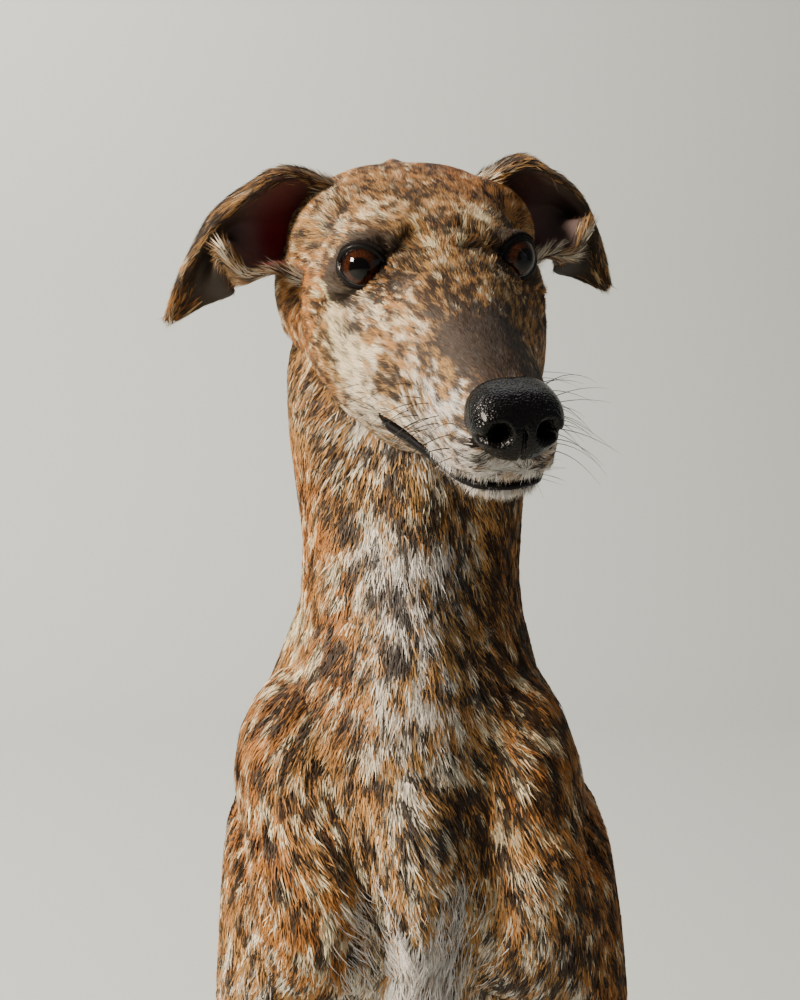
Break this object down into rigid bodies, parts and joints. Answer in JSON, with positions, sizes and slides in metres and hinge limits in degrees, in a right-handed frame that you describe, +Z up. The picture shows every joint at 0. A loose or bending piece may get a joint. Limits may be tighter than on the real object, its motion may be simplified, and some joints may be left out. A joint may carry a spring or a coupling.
{
  "type": "greyhound",
  "caption": "Life-size still model of a sitting greyhound with a brindle coat, head turned slightly aside and ears held out with folded tips.",
  "frame": {"origin": "on the floor, at the middle of the flat that the animal sits on", "axes": "+Z up, -Y the way the chest faces, +X the animal's left"},
  "size_m": [0.4121, 0.8093, 0.8391],
  "materials": {
    "coat": "short flat brindle fur",
    "nose_leather": "moist pebbled black skin",
    "eye": "wet glossy amber-brown",
    "claw": "dark horn"
  },
  "bodies": {
    "root": {"head": "coat", "nose": "nose_leather", "eye_left": "eye", "eye_right": "eye", "ear_left": "coat", "ear_right": "coat", "neck": "coat", "chest": "coat", "loin": "coat", "tail": "coat", "foreleg_left": "coat", "forepaw_left": "coat", "thigh_left": "coat", "shank_left": "coat", "hindpaw_left": "coat", "foreleg_right": "coat", "forepaw_right": "coat", "thigh_right": "coat", "shank_right": "coat", "hindpaw_right": "coat"}
  },
  "joints": []
}
